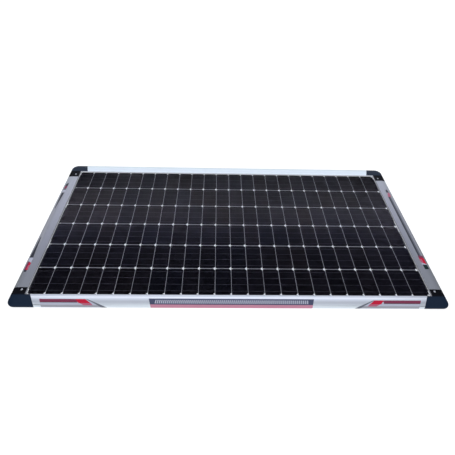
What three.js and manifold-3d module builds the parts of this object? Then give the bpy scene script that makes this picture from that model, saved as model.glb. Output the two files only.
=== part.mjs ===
// Framed solar panel for a vehicle roof: a glass laminate of half-cut cells in a wide, low, curved
// aluminium border with moulded corner caps. Millimetres, +Z up, origin under the panel's centre.
import * as THREE from 'three';
import { mergeVertices } from 'three/addons/utils/BufferGeometryUtils.js';
import Module from 'manifold-3d';

const wasm = await Module();
wasm.setup();

// ---------------------------------------------------------------- driving dimensions

// Half-cut cells, lying in strings that run along X.
const CELL_X = 78.375;
const CELL_Y = 156.75;
const CELL_CHAMFER = 8.5;
const COLUMNS = 24;
const ROWS = 6;
const COLUMN_GAP = 2;
const ROW_GAP = 3.5;
const RIBBON_W = 1.25;
const RIBBON_STUB = 1;
const BUS_W = 5;

// Heights of the laminate's layers above the bench, from the back up.
const BACKSHEET_H = 12.375;
const REAR_EVA_H = 12.75;
const CELL_H = 13.25;
const FRONT_EVA_H = 13.5;
const GLASS_H = 14;
const GLASS_TOP_H = 17.25;

// Frame: a border of constant section round an opening a little larger than the cells.
const MARGIN_X = 10;
const MARGIN_Y = 8;
const RAIL_W = 67;
const RAIL_TOP = 19.75;
const RAIL_FLAT = 4;
const LIP_ROUND = 1.25;
const FOOT_X = 59;
const FOOT_ROUND = 1.5;
const NOSE_H = 12;
const CHANNEL_DEPTH = 8;
const CHANNEL_LOW = 11.875;
const CHANNEL_HIGH = 17.75;
const FLANGE = 2;
const INNER_WALL = 6;
const SKIN = 2;
const WEB_TOP = 14;
const KEY_CHAMBER = { from: 10, to: 42, low: 2, high: 12 };
const LAMINATE_EDGE = 7;
const BEAD_W = 3.25;
const BEAD_H = 19.25;
const BEAD_GAP = 0.05;

// Corner caps. Inboard reaches are counted from the corner of the opening.
const CAP_SKIN = 3;
const CAP_RADIUS = 40;
const CAP_BEND_SIDES = 40;
const DECK_TOP = 18.25;
const DECK_STEP = 3;
const DECK_FROM = 8.5;
const FRONT_CAP = { side: 40, lip: 25, foot: 63, screw: 29 };
const REAR_CAP = { side: 58, lip: 44, foot: 25, screw: 30 };
const SCREW_OUT = 25;
const RECESS_R = 8.5;
const RECESS_FLOOR = 16.25;
const BOSS_R = 11;
const JOINT = 0.3;

// Corner keys and screws.
const KEY_GAP = 1;
const KEY_LOW = 2.5;
const KEY_HIGH = 11.5;
const KEY_REACH = 45;
const SCREW_HOLE_R = 2.25;
const SCREW_R = 2;
const SCREW_HEAD_R = 5.5;
const SCREW_HEAD_H = 2.75;
const SCREW_SEAT = 0.25;
const SCREW_TIP = 0.5;

// Printed bands on the outer slope, each from one share of the slope's curve to another.
const BAND_LIFT = 0.15;
const BAND_THICK = 0.2;
const END_BAND = { from: 0.27, to: 1 };
const CENTRE_BAND = { from: 0.22, to: 1 };
const LEFT_BAND = { from: 0.42, to: 0.74 };
const RIGHT_BAND = { from: 0.29, to: 0.64 };
const BAND_STEPS = 9;

// Junction box under the right-hand end.
const BOX = { x0: 872.5, x1: 972.5, halfY: 55, wall: 2, top: 12, floor: 10.25, rim: 3.5 };
const LID = { low: 0.75, high: 2.75 };
const TAIL_Y = [45, 15, -15, -45];
const TAIL_LOW = 5.5;
const TAIL_THICK = 0.25;
const LANE_A = [964.5, 967];
const LANE_B = [967.5, 970];
const DIODE_X = 955;
const DIODE = { half: 6, radius: 2.5, height: 7 };
const LEAD_R = 0.6;
const TERMINAL_THICK = 2;
const TERMINAL_FOOT = { half: 4, past: 6, reach: 8, thick: 1 };
const GLAND_Y = [30, -30];
const GLAND_H = 6.75;
const GLAND_HOLE_R = 3;
// A gland's body and nut: radii, then distances out from the box's face.
const GLAND = {
  bore: 1.75, thread: 2.75, flange: 4.5, neck: 3.75, tail: -3, seat: 0.25, back: 2.25, end: 13,
};
const GLAND_NUT = {
  inner: 4, outer: 4.9, brow: 3.5, mouth: 2, low: 2.5, shoulder: 10.5, roof: 13.5, throat: 14.5, end: 15.5,
};
const LABEL = { x0: 600, x1: 720, halfY: 40, thick: 0.125 };

// ---------------------------------------------------------------- derived sizes

const FIELD_X = COLUMNS * CELL_X + (COLUMNS - 1) * COLUMN_GAP;
const FIELD_Y = ROWS * CELL_Y + (ROWS - 1) * ROW_GAP;
const OPEN_X = FIELD_X / 2 + MARGIN_X;
const OPEN_Y = FIELD_Y / 2 + MARGIN_Y;
const OUT_X = OPEN_X + RAIL_W;
const OUT_Y = OPEN_Y + RAIL_W;
const LAM_X = OPEN_X + LAMINATE_EDGE;
const LAM_Y = OPEN_Y + LAMINATE_EDGE;
const BEYOND = 5;

// ---------------------------------------------------------------- solids

function solid(geometry) {
  const bare = geometry.clone();
  bare.deleteAttribute('normal');
  bare.deleteAttribute('uv');
  const merged = mergeVertices(bare, 1e-4);
  return new wasm.Manifold(new wasm.Mesh({
    numProp: 3,
    vertProperties: merged.attributes.position.array,
    triVerts: new Uint32Array(merged.index.array),
  }));
}

function geometryOf(manifold) {
  const mesh = manifold.getMesh();
  const geometry = new THREE.BufferGeometry();
  geometry.setAttribute('position', new THREE.BufferAttribute(mesh.vertProperties, 3));
  geometry.setIndex(new THREE.BufferAttribute(mesh.triVerts, 1));
  geometry.computeVertexNormals();
  return geometry;
}

function block(x0, x1, y0, y1, z0, z1) {
  const geometry = new THREE.BoxGeometry(x1 - x0, y1 - y0, z1 - z0);
  return geometry.translate((x0 + x1) / 2, (y0 + y1) / 2, (z0 + z1) / 2);
}

function shapeOf(points) {
  return new THREE.Shape(points.map(([x, y]) => new THREE.Vector2(x, y)));
}

// An outline in plan, raised from z0 to z1.
function prism(shape, z0, z1, curveSegments = 8) {
  const options = { depth: z1 - z0, bevelEnabled: false, curveSegments };
  return new THREE.ExtrudeGeometry(shape, options).translate(0, 0, z0);
}

function cylinder(radius, x, y, z0, z1, sides = 24) {
  const geometry = new THREE.CylinderGeometry(radius, radius, z1 - z0, sides);
  return geometry.rotateX(Math.PI / 2).translate(x, y, (z0 + z1) / 2);
}

// A closed ring or pin turned about its axis; points are [radius, distance along the axis].
function turned(points, sides) {
  return new THREE.LatheGeometry(points.map(([r, a]) => new THREE.Vector2(r, a)), sides);
}

// A section drawn as (outward from the lip, height), extruded along one side of the frame.
function alongSide(shape, outward, length, curveSegments = 8) {
  const options = { depth: length, bevelEnabled: false, curveSegments };
  const geometry = new THREE.ExtrudeGeometry(shape, options).translate(0, 0, -length / 2);
  const up = new THREE.Vector3(0, 0, 1);
  const along = new THREE.Vector3().crossVectors(outward, up);
  geometry.applyMatrix4(new THREE.Matrix4().makeBasis(outward, up, along));
  const lip = outward.x === 0 ? OPEN_Y : OPEN_X;
  return geometry.translate(outward.x * lip, outward.y * lip, 0);
}

const FRONT = new THREE.Vector3(0, -1, 0);
const REAR = new THREE.Vector3(0, 1, 0);
const LEFT = new THREE.Vector3(-1, 0, 0);
const RIGHT = new THREE.Vector3(1, 0, 0);

// ---------------------------------------------------------------- frame section

// The border's slope: a narrow flat beside the glass, then one curve that stays nearly level and
// turns down to an upright nose. Below the nose the wall leans in to a narrower foot.
const slope = new THREE.CubicBezierCurve(
  new THREE.Vector2(RAIL_FLAT, RAIL_TOP),
  new THREE.Vector2(30, 20.5),
  new THREE.Vector2(RAIL_W, 20.5),
  new THREE.Vector2(RAIL_W, NOSE_H),
);
const RAIL_STEPS = 7;

// The cap's hollow, a skin's thickness inside that slope.
const innerSlope = new THREE.CubicBezierCurve(
  new THREE.Vector2(RAIL_FLAT, RAIL_TOP - CAP_SKIN),
  new THREE.Vector2(28, 17),
  new THREE.Vector2(RAIL_W - CAP_SKIN, 17),
  new THREE.Vector2(RAIL_W - CAP_SKIN, NOSE_H),
);
const HOLLOW_STEPS = 5;

function railSection() {
  const section = new THREE.Shape();
  section.moveTo(0, CHANNEL_HIGH);
  section.lineTo(CHANNEL_DEPTH, CHANNEL_HIGH);
  section.lineTo(CHANNEL_DEPTH, CHANNEL_LOW);
  section.lineTo(0, CHANNEL_LOW);
  section.lineTo(0, CHANNEL_LOW - FLANGE);
  section.lineTo(INNER_WALL, CHANNEL_LOW - FLANGE);
  section.lineTo(INNER_WALL, 0);
  section.lineTo(FOOT_X - FOOT_ROUND, 0);
  section.quadraticCurveTo(FOOT_X, 0, FOOT_X + FOOT_ROUND, FOOT_ROUND * 1.5);
  section.lineTo(slope.v3.x, slope.v3.y);
  section.bezierCurveTo(slope.v2.x, slope.v2.y, slope.v1.x, slope.v1.y, slope.v0.x, slope.v0.y);
  section.lineTo(LIP_ROUND, RAIL_TOP);
  section.quadraticCurveTo(0, RAIL_TOP, 0, RAIL_TOP - LIP_ROUND);
  section.closePath();

  const { from, to, low, high } = KEY_CHAMBER;
  section.holes.push(new THREE.Path(shapeOf([
    [from, low], [to, low], [to, high], [from, high],
  ]).getPoints()));

  const shell = new THREE.Path();
  shell.moveTo(from, WEB_TOP);
  shell.lineTo(to + SKIN, WEB_TOP);
  shell.lineTo(to + SKIN, SKIN);
  shell.lineTo(FOOT_X - SKIN, SKIN);
  shell.lineTo(RAIL_W - SKIN, NOSE_H + 0.5);
  shell.bezierCurveTo(RAIL_W - SKIN, 18, 30, 18.25, from, RAIL_TOP - SKIN);
  shell.closePath();
  section.holes.push(shell);
  return section;
}

// How far inboard of the opening's corner a cap reaches along the front or rear rail, at a
// distance out from the lip.
function capEnd(cap, outward) {
  return cap.lip + (cap.foot - cap.lip) * outward / RAIL_W;
}

function longRail(outward, cap) {
  const side = outward.y;
  const near = OPEN_X - capEnd(cap, -BEYOND) - JOINT;
  const far = OPEN_X - capEnd(cap, RAIL_W + BEYOND) - JOINT;
  const yNear = side * (OPEN_Y - BEYOND);
  const yFar = side * (OUT_Y + BEYOND);
  const plan = shapeOf([[-near, yNear], [near, yNear], [far, yFar], [-far, yFar]]);
  const blank = solid(alongSide(railSection(), outward, 2 * OPEN_X, RAIL_STEPS));
  return geometryOf(blank.intersect(solid(prism(plan, -BEYOND, RAIL_TOP + BEYOND))));
}

function sideRail(outward) {
  const y0 = -(OPEN_Y - FRONT_CAP.side - JOINT);
  const y1 = OPEN_Y - REAR_CAP.side - JOINT;
  const rail = alongSide(railSection(), outward, y1 - y0, RAIL_STEPS);
  return rail.translate(0, (y0 + y1) / 2, 0);
}

// ---------------------------------------------------------------- corner caps, keys and screws

// The points of a slope from its flat to its foot, as [outward, height].
function slopeLine(curve, steps, footX, low) {
  return [...curve.getPoints(steps).map((point) => point.toArray()), [footX, low]];
}

// Everything under a slope around corner (sx, sy): two straight legs, and between them a bend that
// turns the same slope about the centre of the cap's outer radius.
function underSlope(sx, sy, line, low) {
  const far = -REAR_CAP.side - KEY_REACH;
  const [flat] = line;
  const leg = shapeOf([[far, low], ...[...line].reverse(), [far, flat[1]]]);
  const alongX = solid(alongSide(leg, sy < 0 ? FRONT : REAR, 2 * OUT_X));
  const alongY = solid(alongSide(leg, sx < 0 ? LEFT : RIGHT, 2 * OUT_Y));

  const centre = RAIL_W - CAP_RADIUS;
  const next = line.findIndex(([out]) => out > centre);
  const [before, after] = [line[next - 1], line[next]];
  const share = (centre - before[0]) / (after[0] - before[0]);
  const middle = before[1] + (after[1] - before[1]) * share;
  const outside = line.slice(next).map(([out, height]) => [out - centre, height]);
  const profile = [[0, low], ...outside.reverse(), [0, middle]];
  const bend = solid(turned(profile, CAP_BEND_SIDES).rotateX(Math.PI / 2));
  const end = RAIL_W + BEYOND;
  const square = solid(block(centre, end, centre, end, low - BEYOND, RAIL_TOP + BEYOND));
  const quarter = bend.translate([centre, centre, 0]).intersect(square);
  return alongX.intersect(alongY).subtract(atCorner(square, sx, sy)).add(atCorner(quarter, sx, sy));
}

function capSurface(sx, sy) {
  return underSlope(sx, sy, slopeLine(slope, RAIL_STEPS, FOOT_X, 0), 0);
}

function capHollow(sx, sy) {
  const foot = FOOT_X - CAP_SKIN - BEYOND / 2;
  return underSlope(sx, sy, slopeLine(innerSlope, HOLLOW_STEPS, foot, -BEYOND), -BEYOND);
}

// The cap's outline in plan, as (outward in X, outward in Y) from the opening's corner. A positive
// inset is the outline of its hollow.
function capPlan(cap, inset) {
  const edge = RAIL_W - inset;
  const radius = CAP_RADIUS - inset;
  const inside = inset > 0 ? KEY_CHAMBER.from : 0;
  const past = inset > 0 ? BEYOND : 0;
  const plan = new THREE.Shape();
  plan.moveTo(inside, -cap.side - past);
  plan.lineTo(edge, -cap.side - past);
  plan.lineTo(edge, edge - radius);
  plan.absarc(edge - radius, edge - radius, radius, 0, Math.PI / 2, false);
  plan.lineTo(-capEnd(cap, edge) - past, edge);
  plan.lineTo(-capEnd(cap, inside) - past, inside);
  plan.lineTo(inside, inside);
  plan.closePath();
  return plan;
}

// Puts a solid drawn for the rear right corner at corner (sx, sy).
function atCorner(manifold, sx, sy) {
  const moved = manifold.translate([OPEN_X, OPEN_Y, 0]);
  return moved.scale([sx, sy, 1]);
}

function cornerCap(sx, sy) {
  const cap = sy < 0 ? FRONT_CAP : REAR_CAP;
  const high = RAIL_TOP + BEYOND;
  const local = (geometry) => atCorner(solid(geometry), sx, sy);
  const far = -REAR_CAP.side - KEY_REACH;
  let body = capSurface(sx, sy).intersect(local(prism(capPlan(cap, 0), 0, high, 10)));

  const hollow = capHollow(sx, sy);
  body = body.subtract(hollow.intersect(local(prism(capPlan(cap, CAP_SKIN), -BEYOND, high, 8))));

  const channel = [far, CHANNEL_DEPTH, far, CHANNEL_DEPTH, CHANNEL_LOW, CHANNEL_HIGH];
  body = body.subtract(local(block(...channel)));
  const under = [far, INNER_WALL, far, INNER_WALL, -BEYOND, CHANNEL_LOW - FLANGE];
  body = body.subtract(local(block(...under)));

  // Screw deck: a flat step in the side leg, with a boss, a round recess and a hole.
  const deck = [DECK_FROM, RAIL_W + BEYOND, far, -DECK_STEP, DECK_TOP, high];
  body = body.subtract(local(block(...deck)));
  const at = [SCREW_OUT, -cap.screw];
  body = body.add(local(cylinder(BOSS_R, ...at, KEY_HIGH + JOINT, RECESS_FLOOR + 1)));
  body = body.subtract(local(cylinder(RECESS_R, ...at, RECESS_FLOOR, high)));
  body = body.subtract(local(cylinder(SCREW_HOLE_R, ...at, 0, high, 16)));
  return geometryOf(body);
}

function cornerKey(sx, sy) {
  const cap = sy < 0 ? FRONT_CAP : REAR_CAP;
  const from = KEY_CHAMBER.from + KEY_GAP;
  const to = KEY_CHAMBER.to - KEY_GAP;
  const endX = -Math.max(cap.lip, cap.foot) - KEY_REACH;
  const endY = -cap.side - KEY_REACH;
  const plan = shapeOf([
    [from, endY], [to, endY], [to, to], [endX, to], [endX, from], [from, from],
  ]);
  const bar = solid(prism(plan, KEY_LOW, KEY_HIGH));
  const hole = solid(cylinder(SCREW_HOLE_R, SCREW_OUT, -cap.screw, 0, RAIL_TOP, 16));
  return geometryOf(atCorner(bar.subtract(hole), sx, sy));
}

function cornerScrew(sx, sy) {
  const cap = sy < 0 ? FRONT_CAP : REAR_CAP;
  const seat = RECESS_FLOOR + SCREW_SEAT;
  const screw = turned([
    [0, KEY_LOW + SCREW_TIP], [SCREW_R, KEY_LOW + SCREW_TIP + SCREW_R], [SCREW_R, seat],
    [SCREW_HEAD_R, seat], [SCREW_HEAD_R, seat + SCREW_HEAD_H * 0.45],
    [SCREW_HEAD_R * 0.75, seat + SCREW_HEAD_H * 0.8], [0, seat + SCREW_HEAD_H],
  ], 20);
  screw.rotateX(Math.PI / 2);
  screw.translate(sx * (OPEN_X + SCREW_OUT), sy * (OPEN_Y - cap.screw), 0);
  return screw;
}

// ---------------------------------------------------------------- laminate

// The middle of a row of cells, counted from the rear.
function rowY(row) {
  return FIELD_Y / 2 - CELL_Y / 2 - row * (CELL_Y + ROW_GAP);
}

// One string: cells with both right-hand corners cut, joined by a ribbon with a stub at each end.
function cellString(row) {
  const pitch = CELL_X + COLUMN_GAP;
  const half = RIBBON_W / 2;
  const upper = [];
  const lower = [];
  for (let column = 0; column < COLUMNS; column += 1) {
    const x0 = -FIELD_X / 2 + column * pitch;
    const x1 = x0 + CELL_X;
    const back = x0 - (column === 0 ? RIBBON_STUB : COLUMN_GAP);
    upper.push([back, half], [x0, half], [x0, CELL_Y / 2]);
    upper.push([x1 - CELL_CHAMFER, CELL_Y / 2], [x1, CELL_Y / 2 - CELL_CHAMFER], [x1, half]);
  }
  upper.push([FIELD_X / 2 + RIBBON_STUB, half]);
  const outline = upper.filter(([x, y], i) => i === 0 || x !== upper[i - 1][0] || y !== upper[i - 1][1]);
  for (const [x, y] of outline) lower.unshift([x, -y]);
  const string = prism(shapeOf([...outline, ...lower].reverse()), CELL_H, FRONT_EVA_H);
  return string.translate(0, rowY(row), 0);
}

// A left-hand ribbon joins the ends of two neighbouring strings.
function leftBus(pair) {
  const x1 = -FIELD_X / 2 - RIBBON_STUB;
  const high = rowY(2 * pair) + CELL_Y / 3;
  const low = rowY(2 * pair + 1) - CELL_Y / 3;
  return block(x1 - BUS_W, x1, low, high, CELL_H, FRONT_EVA_H);
}

// A right-hand ribbon gathers one or two string ends and turns down a tail into the junction box.
function rightBus(index) {
  const side = index < 2 ? 1 : -1;
  const tailY = TAIL_Y[index];
  const outer = index === 0 || index === 3;
  const lane = outer ? LANE_B : LANE_A;
  const low = outer ? rowY(1) + CELL_Y * 0.6 : Math.abs(tailY);
  const high = outer ? rowY(0) + CELL_Y / 3 : rowY(1) + CELL_Y / 3;
  const tailEnd = Math.abs(tailY);
  const span = (x, from, to) => {
    const ends = [side * from, side * to].sort((a, b) => a - b);
    return solid(block(x[0], x[1], ends[0], ends[1], CELL_H, FRONT_EVA_H));
  };
  let ribbon = span(lane, tailEnd, high);
  if (outer) ribbon = ribbon.add(span([LANE_A[0], lane[1]], low, high));
  const tail = [side * tailEnd, side * (tailEnd + TAIL_THICK)].sort((a, b) => a - b);
  return geometryOf(ribbon.add(solid(block(lane[0], lane[1], ...tail, TAIL_LOW, FRONT_EVA_H))));
}

// A sheet behind the cells, with a slot over each ribbon's tail.
function slottedSheet(halfX, halfY, z0, z1) {
  let sheet = solid(block(-halfX, halfX, -halfY, halfY, z0, z1));
  for (const tailY of TAIL_Y) sheet = sheet.subtract(tailSlot(tailY));
  return geometryOf(sheet);
}

function tailSlot(tailY) {
  return solid(block(LANE_A[0] - 0.5, LANE_B[1] + 0.25, tailY - 1.5, tailY + 1.5, 0, RAIL_TOP));
}

// A U-shaped strip round one edge of the laminate, with a bead that lies on the glass along the
// rail's lip. Side strips stop between the long ones, whose beads stop short of them.
function gasketStrip(outward) {
  const long = outward.x === 0;
  const section = shapeOf([
    [0, CHANNEL_LOW], [CHANNEL_DEPTH, CHANNEL_LOW], [CHANNEL_DEPTH, CHANNEL_HIGH],
    [-BEAD_GAP, CHANNEL_HIGH], [-BEAD_GAP, BEAD_H], [-BEAD_W * 0.4, BEAD_H - 0.25],
    [-BEAD_W, GLASS_TOP_H], [LAMINATE_EDGE, GLASS_TOP_H], [LAMINATE_EDGE, BACKSHEET_H],
    [0, BACKSHEET_H],
  ]);
  const length = long ? 2 * (OPEN_X + CHANNEL_DEPTH) : 2 * (OPEN_Y - BEAD_W);
  let strip = solid(alongSide(section, outward, length));
  if (!long) return geometryOf(strip);
  strip = strip.subtract(solid(block(-LAM_X, LAM_X, -LAM_Y, LAM_Y, BACKSHEET_H, GLASS_TOP_H)));
  const inner = OPEN_X - BEAD_GAP;
  for (const [x0, x1] of [[-2 * OPEN_X, -inner], [inner, 2 * OPEN_X]]) {
    strip = strip.subtract(solid(block(x0, x1, -OPEN_Y, OPEN_Y, GLASS_TOP_H, RAIL_TOP)));
  }
  return geometryOf(strip);
}

// ---------------------------------------------------------------- printed bands

// A thin skin that follows the slope between two shares of its curve.
function bandSection({ from, to }) {
  const inner = [];
  const outer = [];
  for (let i = 0; i <= BAND_STEPS; i += 1) {
    const t = from + (to - from) * i / BAND_STEPS;
    const at = slope.getPoint(t);
    const tangent = slope.getTangent(t);
    const normal = [-tangent.y, tangent.x];
    inner.push([at.x + normal[0] * BAND_LIFT, at.y + normal[1] * BAND_LIFT]);
    const lift = BAND_LIFT + BAND_THICK;
    outer.push([at.x + normal[0] * lift, at.y + normal[1] * lift]);
  }
  return shapeOf([...inner, ...outer.reverse()]);
}

// A band between two ends, each given at the top of the slope and at its foot.
function band(outward, span, startTop, startFoot, endTop, endFoot) {
  const top = slope.getPoint(span.from).x - 1;
  const foot = slope.getPoint(span.to).x + 1;
  const lip = outward.x === 0 ? OPEN_Y : OPEN_X;
  const place = (along, out) => (outward.x === 0
    ? [along, outward.y * (lip + out)]
    : [outward.x * (lip + out), along]);
  const plan = shapeOf([
    place(startTop, top), place(endTop, top), place(endFoot, foot), place(startFoot, foot),
  ]);
  const strip = solid(alongSide(bandSection(span), outward, 2 * OPEN_X));
  return geometryOf(strip.intersect(solid(prism(plan, -BEYOND, RAIL_TOP + BEYOND))));
}

// ---------------------------------------------------------------- junction box

function glandPlace(geometry, y) {
  return geometry.rotateZ(Math.PI / 2).translate(0, y, GLAND_H);
}

function boxBase() {
  const { x0, x1, halfY, wall, top, floor, rim } = BOX;
  let base = solid(block(x0, x1, -halfY, halfY, rim, top));
  const inside = [x0 + wall, x1 - wall, -halfY + wall, halfY - wall, 0, floor];
  base = base.subtract(solid(block(...inside)));
  for (const tailY of TAIL_Y) base = base.subtract(tailSlot(tailY));
  for (const y of GLAND_Y) {
    const hole = new THREE.CylinderGeometry(GLAND_HOLE_R, GLAND_HOLE_R, 4 * wall, 16);
    hole.translate(0, -x0 - wall / 2, 0);
    base = base.subtract(solid(glandPlace(hole, y)));
  }
  return geometryOf(base);
}

function boxSeal() {
  const { x0, x1, halfY, wall, rim } = BOX;
  const outline = shapeOf([[x0, -halfY], [x1, -halfY], [x1, halfY], [x0, halfY]]);
  outline.holes.push(new THREE.Path(shapeOf([
    [x0 + wall, -halfY + wall], [x0 + wall, halfY - wall],
    [x1 - wall, halfY - wall], [x1 - wall, -halfY + wall],
  ]).getPoints()));
  return prism(outline, LID.high, rim);
}

function boxBond() {
  const { x0, x1, halfY, top } = BOX;
  let bond = solid(block(x0, x1, -halfY, halfY, top, BACKSHEET_H));
  for (const tailY of TAIL_Y) bond = bond.subtract(tailSlot(tailY));
  return geometryOf(bond);
}

// The faces of a terminal's upright, low and high, along Y.
function uprightFaces(index) {
  const inward = index < TAIL_Y.length / 2 ? -TERMINAL_THICK : TERMINAL_THICK;
  return [TAIL_Y[index], TAIL_Y[index] + inward].sort((a, b) => a - b);
}

// A brass clip beside each ribbon tail: an upright with a foot on the box's floor.
function terminal(index) {
  const inward = index < TAIL_Y.length / 2 ? -1 : 1;
  const y = TAIL_Y[index];
  const foot = [y, y + inward * TERMINAL_FOOT.reach].sort((a, b) => a - b);
  const x0 = DIODE_X - TERMINAL_FOOT.half;
  const x1 = DIODE_X + TERMINAL_FOOT.past;
  const upright = solid(block(x0, LANE_A[1], ...uprightFaces(index), TAIL_LOW, BOX.floor));
  const base = solid(block(x0, x1, ...foot, BOX.floor - TERMINAL_FOOT.thick, BOX.floor));
  return geometryOf(upright.add(base));
}

// A diode whose leads reach from one terminal's upright to the next.
function bypassDiode(index) {
  const y0 = uprightFaces(index + 1)[1];
  const y1 = uprightFaces(index)[0];
  const middle = (y0 + y1) / 2;
  const diode = turned([
    [0, y0], [LEAD_R, y0], [LEAD_R, middle - DIODE.half], [DIODE.radius, middle - DIODE.half],
    [DIODE.radius, middle + DIODE.half], [LEAD_R, middle + DIODE.half], [LEAD_R, y1], [0, y1],
  ], 12);
  return diode.translate(DIODE_X, 0, DIODE.height);
}

// Gland body: a threaded sleeve through the box wall with a flange outside.
function glandBody(y) {
  const { bore, thread, flange, neck, tail, seat, back, end } = GLAND;
  const sleeve = turned([
    [bore, tail], [thread, tail], [thread, seat], [flange, seat], [flange, back], [neck, back],
    [neck, end], [bore, end], [bore, tail],
  ], 16);
  return glandPlace(sleeve.translate(0, -BOX.x0, 0), y);
}

function glandNut(y) {
  const { inner, outer, brow, mouth, low, shoulder, roof, throat, end } = GLAND_NUT;
  const cap = turned([
    [inner, low], [outer, low], [outer, shoulder], [brow, end], [mouth, end], [mouth, throat],
    [inner, roof], [inner, low],
  ], 12);
  return glandPlace(cap.translate(0, -BOX.x0, 0), y);
}

// ---------------------------------------------------------------- assembly

const finish = {
  glass: { color: 0x20242c, roughness: 0.06, metalness: 0 },
  encapsulant: { color: 0xe8e8e4, roughness: 0.4, metalness: 0 },
  cell: { color: 0x0c0f1a, roughness: 0.3, metalness: 0.1 },
  ribbon: { color: 0xc9cbd0, roughness: 0.3, metalness: 1 },
  backsheet: { color: 0xeeeeec, roughness: 0.6, metalness: 0 },
  gasket: { color: 0xc4c5c8, roughness: 0.7, metalness: 0 },
  aluminium: { color: 0xc4c9d2, roughness: 0.35, metalness: 1 },
  cap: { color: 0x0d1017, roughness: 0.4, metalness: 0 },
  key: { color: 0x9a9da2, roughness: 0.5, metalness: 1 },
  screw: { color: 0xdcdcdc, roughness: 0.2, metalness: 1 },
  band: { color: 0x8a3048, roughness: 0.35, metalness: 0 },
  box: { color: 0x141414, roughness: 0.55, metalness: 0 },
  seal: { color: 0x3c3c3c, roughness: 0.8, metalness: 0 },
  brass: { color: 0xb08d4a, roughness: 0.35, metalness: 1 },
  label: { color: 0xd8d8d8, roughness: 0.5, metalness: 0 },
};

const panel = new THREE.Group();

function addNode(name, geometry, look) {
  const mesh = new THREE.Mesh(geometry, new THREE.MeshStandardMaterial(finish[look]));
  mesh.name = name;
  panel.add(mesh);
}

addNode('front_glass', block(-LAM_X, LAM_X, -LAM_Y, LAM_Y, GLASS_H, GLASS_TOP_H), 'glass');
addNode('front_encapsulant', block(-LAM_X, LAM_X, -LAM_Y, LAM_Y, FRONT_EVA_H, GLASS_H), 'encapsulant');
addNode('rear_encapsulant', slottedSheet(LAM_X, LAM_Y, REAR_EVA_H, CELL_H), 'encapsulant');
addNode('backsheet', slottedSheet(LAM_X, LAM_Y, BACKSHEET_H, REAR_EVA_H), 'backsheet');
for (let row = 0; row < ROWS; row += 1) addNode(`cell_string_${row + 1}`, cellString(row), 'cell');
for (let pair = 0; pair < ROWS / 2; pair += 1) {
  addNode(`left_bus_ribbon_${pair + 1}`, leftBus(pair), 'ribbon');
}
for (let i = 0; i < TAIL_Y.length; i += 1) addNode(`right_bus_ribbon_${i + 1}`, rightBus(i), 'ribbon');

addNode('front_gasket', gasketStrip(FRONT), 'gasket');
addNode('rear_gasket', gasketStrip(REAR), 'gasket');
addNode('left_gasket', gasketStrip(LEFT), 'gasket');
addNode('right_gasket', gasketStrip(RIGHT), 'gasket');

addNode('front_rail', longRail(FRONT, FRONT_CAP), 'aluminium');
addNode('rear_rail', longRail(REAR, REAR_CAP), 'aluminium');
addNode('left_rail', sideRail(LEFT), 'aluminium');
addNode('right_rail', sideRail(RIGHT), 'aluminium');

const corners = { front_left: [-1, -1], front_right: [1, -1], rear_left: [-1, 1], rear_right: [1, 1] };
for (const [corner, [sx, sy]] of Object.entries(corners)) {
  addNode(`${corner}_corner_cap`, cornerCap(sx, sy), 'cap');
  addNode(`${corner}_corner_key`, cornerKey(sx, sy), 'key');
  addNode(`${corner}_corner_screw`, cornerScrew(sx, sy), 'screw');
}

addNode('front_left_band', band(FRONT, END_BAND, -897, -875, -676, -576), 'band');
addNode('front_centre_band', band(FRONT, CENTRE_BAND, -391, -376, 391, 376), 'band');
addNode('front_right_band', band(FRONT, END_BAND, 676, 576, 907, 882), 'band');
addNode('left_side_band', band(LEFT, LEFT_BAND, -354, -354, 362, 345), 'band');
addNode('right_side_band', band(RIGHT, RIGHT_BAND, -322, -318, 335, 335), 'band');

addNode('junction_box_bond', boxBond(), 'seal');
addNode('junction_box_base', boxBase(), 'box');
addNode('junction_box_seal', boxSeal(), 'seal');
addNode('junction_box_lid', block(BOX.x0, BOX.x1, -BOX.halfY, BOX.halfY, LID.low, LID.high), 'box');
for (let i = 0; i < TAIL_Y.length; i += 1) addNode(`ribbon_terminal_${i + 1}`, terminal(i), 'brass');
for (let i = 0; i < TAIL_Y.length - 1; i += 1) addNode(`bypass_diode_${i + 1}`, bypassDiode(i), 'box');
GLAND_Y.forEach((y, i) => {
  addNode(`cable_gland_${i + 1}`, glandBody(y), 'box');
  addNode(`gland_nut_${i + 1}`, glandNut(y), 'box');
});
const labelPlace = [LABEL.x0, LABEL.x1, -LABEL.halfY, LABEL.halfY];
addNode('rating_label', block(...labelPlace, BACKSHEET_H - LABEL.thick, BACKSHEET_H), 'label');

export default panel;
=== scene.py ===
import math

import bmesh
import bpy
from mathutils import Matrix, Vector
from mathutils.geometry import tessellate_polygon


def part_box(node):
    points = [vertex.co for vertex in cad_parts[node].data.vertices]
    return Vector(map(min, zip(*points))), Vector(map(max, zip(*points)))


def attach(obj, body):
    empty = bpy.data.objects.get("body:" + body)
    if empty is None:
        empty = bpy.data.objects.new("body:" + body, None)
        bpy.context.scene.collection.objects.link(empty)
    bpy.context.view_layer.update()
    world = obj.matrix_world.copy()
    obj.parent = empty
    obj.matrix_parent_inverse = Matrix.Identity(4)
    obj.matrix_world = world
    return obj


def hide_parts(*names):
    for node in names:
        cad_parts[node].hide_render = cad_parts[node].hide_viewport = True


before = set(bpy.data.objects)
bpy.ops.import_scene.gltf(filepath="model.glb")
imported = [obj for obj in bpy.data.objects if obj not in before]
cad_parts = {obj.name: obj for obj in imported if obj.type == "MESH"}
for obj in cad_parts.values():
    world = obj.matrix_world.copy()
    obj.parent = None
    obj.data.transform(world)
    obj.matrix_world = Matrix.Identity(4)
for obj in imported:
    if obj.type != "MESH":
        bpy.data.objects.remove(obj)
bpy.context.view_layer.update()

MM = 0.001

# ---------------------------------------------------------------- sizes, in millimetres

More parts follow.
